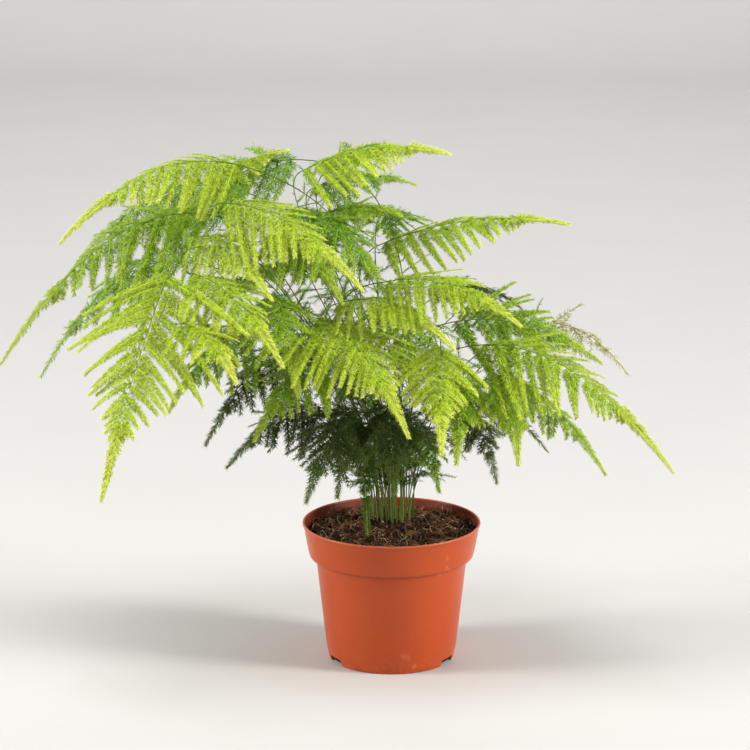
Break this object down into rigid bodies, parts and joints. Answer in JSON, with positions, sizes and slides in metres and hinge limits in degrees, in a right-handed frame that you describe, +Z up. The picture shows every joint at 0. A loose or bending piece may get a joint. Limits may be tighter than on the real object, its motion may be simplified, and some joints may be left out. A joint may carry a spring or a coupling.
{
  "type": "potted lace fern",
  "caption": "Lace fern with arching feathery fronds on wiry stems, growing in peat in a terracotta-coloured plastic nursery pot with a banded rim.",
  "frame": {"origin": "middle of the pot's flat underside, on the surface that the pot stands on", "axes": "+Z up; the picture looks along +Y, so the plant's front is -Y and its longest frond reaches to -X"},
  "size_m": [0.438, 0.295, 0.3542],
  "materials": {
    "terracotta_plastic": "satin moulded polypropylene, lightly scuffed",
    "dark_peat": "moist dark peat with coir fibres, rough",
    "leaf_bright": "young yellow-green needles, soft",
    "leaf_fresh": "fresh green needles, soft",
    "leaf_green": "mid-green needles, soft",
    "leaf_deep": "dark green needles, soft",
    "leaf_dry": "dry olive-brown needles, matt"
  },
  "bodies": {
    "root": {"pot": "terracotta_plastic", "soil": "dark_peat", "frond_top_left": "leaf_bright", "frond_top_right": "leaf_bright", "frond_upper_right": "leaf_bright", "frond_left_long": "leaf_fresh", "frond_front_left": "leaf_bright", "frond_centre_top": "leaf_bright", "frond_left_mid": "leaf_bright", "frond_centre_left": "leaf_bright", "frond_front_low_left": "leaf_bright", "frond_centre_front": "leaf_bright", "frond_centre_spear": "leaf_bright", "frond_right_centre": "leaf_bright", "frond_right_long": "leaf_bright", "frond_right_green": "leaf_fresh", "frond_right_low": "leaf_fresh", "frond_hang_1": "leaf_bright", "frond_hang_2": "leaf_fresh", "frond_hang_3": "leaf_fresh", "frond_centre_green": "leaf_green", "frond_top_green": "leaf_green", "frond_upper_right_1": "leaf_green", "frond_upper_right_2": "leaf_fresh", "frond_top_left_back": "leaf_bright", "frond_top_back": "leaf_green", "frond_left_back": "leaf_green", "frond_left_low": "leaf_green", "frond_mid_left": "leaf_fresh", "frond_mid_front": "leaf_fresh", "frond_inner_front": "leaf_fresh", "frond_centre_fill": "leaf_fresh", "frond_centre_low": "leaf_fresh", "frond_deep_left": "leaf_deep", "frond_deep_left_low": "leaf_deep", "frond_deep_front": "leaf_deep", "frond_deep_middle": "leaf_deep", "frond_deep_hang": "leaf_deep", "frond_drape": "leaf_green", "frond_low_front": "leaf_green", "frond_low_right": "leaf_deep", "frond_low_right_2": "leaf_deep", "frond_back_right": "leaf_deep", "frond_dry_spray": "leaf_dry", "frond_back_left": "leaf_green", "frond_back_middle": "leaf_green", "frond_back_far_right": "leaf_green", "frond_back_low": "leaf_deep"}
  },
  "joints": []
}
